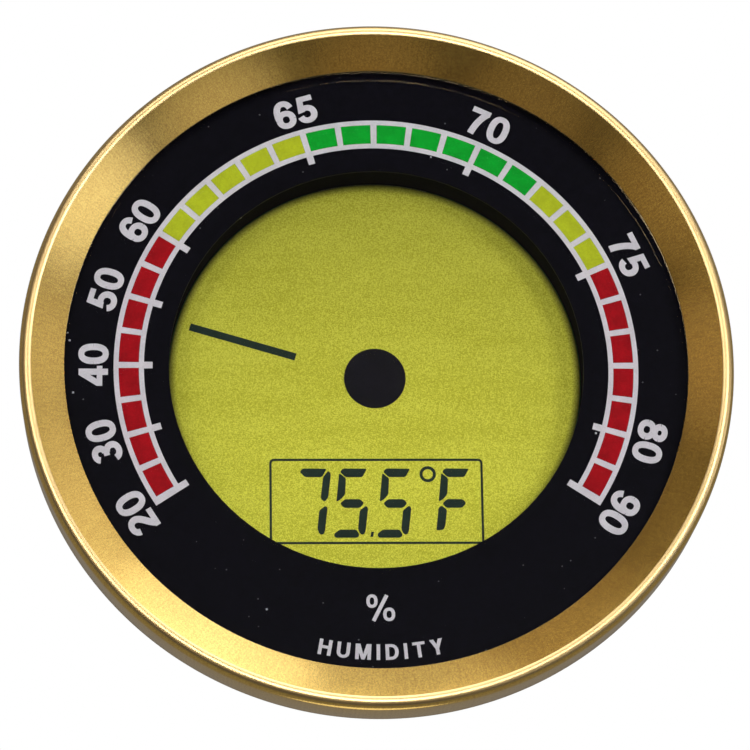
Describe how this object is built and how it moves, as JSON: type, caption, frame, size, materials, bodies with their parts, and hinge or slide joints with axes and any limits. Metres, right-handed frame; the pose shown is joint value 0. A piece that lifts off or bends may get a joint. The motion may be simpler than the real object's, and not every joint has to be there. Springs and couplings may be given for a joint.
{
  "type": "dial hygrometer",
  "caption": "Round panel hygrometer with a dished gold bezel, a dial-style humidity scale round a liquid-crystal display, and a tube body with battery cap and buttons at the back.",
  "frame": {"origin": "middle of the back rim's plane, on the axis of the round body", "axes": "-Y is the way the dial faces, +Y points out of the back, +Z is the top of the dial, +X is the dial's right as it is read"},
  "size_m": [0.057, 0.014, 0.057],
  "materials": {
    "gold_bezel": "satin gold anodised, fine blasted grain",
    "clear_lens": "clear polished acrylic",
    "black_print": "black ink behind a clear lens, with white and coloured inks",
    "black_foam": "matt adhesive foam",
    "display_film": "yellow-green reflective display film, fine grain",
    "display_glass": "clear display glass",
    "reflector": "diffuse foil",
    "black_plastic": "fine-textured black plastic",
    "back_plastic": "fine-textured dark grey plastic",
    "conductive_rubber": "striped conductive rubber",
    "circuit_board": "green solder mask",
    "epoxy": "black epoxy",
    "component_black": "moulded black",
    "bright_metal": "tinned sheet metal",
    "ceramic": "tan ceramic with tinned ends",
    "screw_steel": "zinc-plated steel",
    "cell_can": "bright nickel-plated can",
    "magnet_nickel": "nickel-plated magnet",
    "filter_cloth": "white breathable membrane",
    "seal_rubber": "matt rubber",
    "button_rubber": "soft dark grey button"
  },
  "bodies": {
    "housing": {"bezel": "gold_bezel", "lens": "clear_lens", "dial_mask": "black_print", "lens_gasket": "black_foam", "hub_dot": "black_print", "lcd_polariser": "display_film", "lcd_front_glass": "display_glass", "lcd_rear_glass": "display_glass", "lcd_reflector": "reflector", "lcd_holder": "black_plastic", "zebra_upper": "conductive_rubber", "zebra_lower": "conductive_rubber", "circuit_board": "circuit_board", "controller_blob": "epoxy", "humidity_sensor": "component_black", "thermistor": "component_black", "crystal": "bright_metal", "capacitors": "ceramic", "resistors": "component_black", "board_screws": "screw_steel", "contact_minus": "bright_metal", "contact_plus": "bright_metal", "coin_cell": "cell_can", "case": "black_plastic", "front_flange": "black_plastic", "back_cover": "back_plastic", "cover_screws": "screw_steel", "up_switch": "bright_metal", "down_switch": "bright_metal", "unit_switch": "bright_metal", "mount_magnets": "magnet_nickel", "vent_filters": "filter_cloth"},
    "seal": {"cap_seal": "seal_rubber"},
    "cap": {"battery_cap": "black_plastic"},
    "up_key": {"up_button": "button_rubber", "up_stem": "component_black"},
    "down_key": {"down_button": "button_rubber", "down_stem": "component_black"},
    "unit_slider": {"unit_knob": "component_black"}
  },
  "joints": [
    {"name": "battery_cap_lift", "type": "slide", "parent": "housing", "child": "seal", "axis": [0, 1, 0], "range_m": [0, 0.0016]},
    {"name": "battery_cap_turn", "type": "hinge", "parent": "seal", "child": "cap", "pos_m": [0, 0, -0.0055], "axis": [0, 1, 0], "range_deg": [0, 90]},
    {"name": "up_button_press", "type": "slide", "parent": "housing", "child": "up_key", "axis": [0, -1, 0], "range_m": [0, 0.0004], "stiffness_N_per_m": 1500},
    {"name": "down_button_press", "type": "slide", "parent": "housing", "child": "down_key", "axis": [0, -1, 0], "range_m": [0, 0.0004], "stiffness_N_per_m": 1500},
    {"name": "unit_switch_slide", "type": "slide", "parent": "housing", "child": "unit_slider", "axis": [1, 0, 0], "range_m": [0, 0.002]}
  ],
  "couplings": [
    {"joint": "battery_cap_turn", "follows": "battery_cap_lift", "rad_per_m": 981.75}
  ]
}
